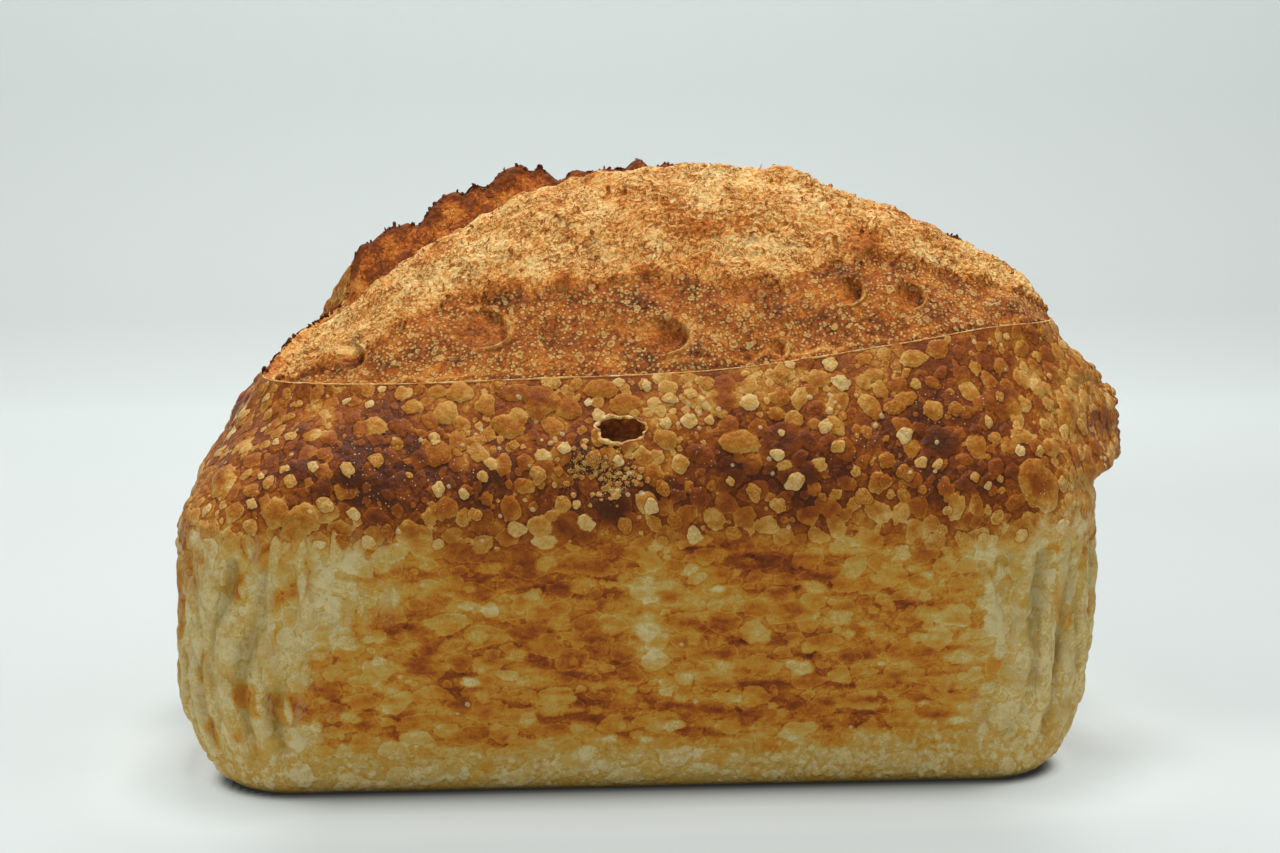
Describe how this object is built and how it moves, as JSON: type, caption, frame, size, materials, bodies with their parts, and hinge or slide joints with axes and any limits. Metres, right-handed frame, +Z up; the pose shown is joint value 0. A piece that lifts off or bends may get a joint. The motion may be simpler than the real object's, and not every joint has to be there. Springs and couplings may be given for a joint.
{
  "type": "sourdough loaf",
  "caption": "Tin-baked sourdough loaf with fluted pale sides, a blistered brown top crust and a long split along the top with a raised ragged ear of crust.",
  "frame": {"origin": "middle of the loaf's flat foot, on the surface it rests on", "axes": "+Z up, +X along the loaf towards the end with the torn lip of crust, the near edge of the split faces -Y"},
  "size_m": [0.235, 0.121, 0.1463],
  "materials": {
    "crust": "blistered baked crust with a faint sheen, golden to dark brown above the tin's rim and pale straw with brown patches on the walls; rough golden crumb inside the split"
  },
  "bodies": {
    "root": {"loaf": "crust"}
  },
  "joints": []
}
